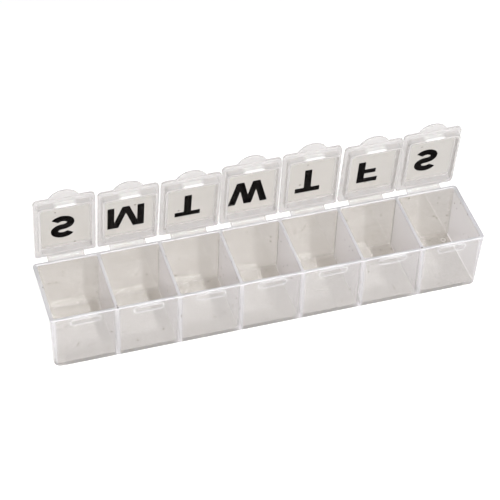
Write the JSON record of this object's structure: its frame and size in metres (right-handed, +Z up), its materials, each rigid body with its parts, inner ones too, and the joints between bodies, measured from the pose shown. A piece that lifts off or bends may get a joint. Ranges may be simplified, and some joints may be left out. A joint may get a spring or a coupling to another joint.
{
  "type": "pill organizer",
  "caption": "Travel pill organizer: a long moulded tray of daily compartments, each with its own flip lid on a living hinge, with a plug frame, snap bead, thumb tab and printed day initial.",
  "frame": {"origin": "centre of the tray's underside", "axes": "+X along the length, from the first day to the last when read from the front; +Y from the front to the hinge side; +Z up"},
  "size_m": [0.15, 0.0297, 0.0539],
  "materials": {
    "tray_plastic": "milky translucent moulded polypropylene, softly glossy",
    "lid_plastic": "milky translucent moulded polypropylene, thinner and clearer, softly glossy",
    "hinge_plastic": "thin flexed polypropylene web",
    "print_ink": "black pad-printed ink"
  },
  "bodies": {
    "tray": {"tray": "tray_plastic", "hinge_sunday": "hinge_plastic", "hinge_monday": "hinge_plastic", "hinge_tuesday": "hinge_plastic", "hinge_wednesday": "hinge_plastic", "hinge_thursday": "hinge_plastic", "hinge_friday": "hinge_plastic", "hinge_saturday": "hinge_plastic"},
    "lid_sunday": {"lid_sunday": "lid_plastic", "letter_sunday": "print_ink"},
    "lid_monday": {"lid_monday": "lid_plastic", "letter_monday": "print_ink"},
    "lid_tuesday": {"lid_tuesday": "lid_plastic", "letter_tuesday": "print_ink"},
    "lid_wednesday": {"lid_wednesday": "lid_plastic", "letter_wednesday": "print_ink"},
    "lid_thursday": {"lid_thursday": "lid_plastic", "letter_thursday": "print_ink"},
    "lid_friday": {"lid_friday": "lid_plastic", "letter_friday": "print_ink"},
    "lid_saturday": {"lid_saturday": "lid_plastic", "letter_saturday": "print_ink"}
  },
  "joints": [
    {"name": "flip_sunday", "type": "hinge", "parent": "tray", "child": "lid_sunday", "pos_m": [-0.0633, 0.01485, 0.02215], "axis": [-1, 0, 0], "range_deg": [-83.5, 96.5], "stiffness_Nm_per_rad": 0.002, "deforming": ["hinge_sunday"]},
    {"name": "flip_monday", "type": "hinge", "parent": "tray", "child": "lid_monday", "pos_m": [-0.0422, 0.01485, 0.02215], "axis": [-1, 0, 0], "range_deg": [-81, 99], "stiffness_Nm_per_rad": 0.002, "deforming": ["hinge_monday"]},
    {"name": "flip_tuesday", "type": "hinge", "parent": "tray", "child": "lid_tuesday", "pos_m": [-0.0211, 0.01485, 0.02215], "axis": [-1, 0, 0], "range_deg": [-80.5, 99.5], "stiffness_Nm_per_rad": 0.002, "deforming": ["hinge_tuesday"]},
    {"name": "flip_wednesday", "type": "hinge", "parent": "tray", "child": "lid_wednesday", "pos_m": [0, 0.01485, 0.02215], "axis": [-1, 0, 0], "range_deg": [-83.7, 96.3], "stiffness_Nm_per_rad": 0.002, "deforming": ["hinge_wednesday"]},
    {"name": "flip_thursday", "type": "hinge", "parent": "tray", "child": "lid_thursday", "pos_m": [0.0211, 0.01485, 0.02215], "axis": [-1, 0, 0], "range_deg": [-84.7, 95.3], "stiffness_Nm_per_rad": 0.002, "deforming": ["hinge_thursday"]},
    {"name": "flip_friday", "type": "hinge", "parent": "tray", "child": "lid_friday", "pos_m": [0.0422, 0.01485, 0.02215], "axis": [-1, 0, 0], "range_deg": [-81.3, 98.7], "stiffness_Nm_per_rad": 0.002, "deforming": ["hinge_friday"]},
    {"name": "flip_saturday", "type": "hinge", "parent": "tray", "child": "lid_saturday", "pos_m": [0.0633, 0.01485, 0.02215], "axis": [-1, 0, 0], "range_deg": [-82.8, 97.2], "stiffness_Nm_per_rad": 0.002, "deforming": ["hinge_saturday"]}
  ]
}
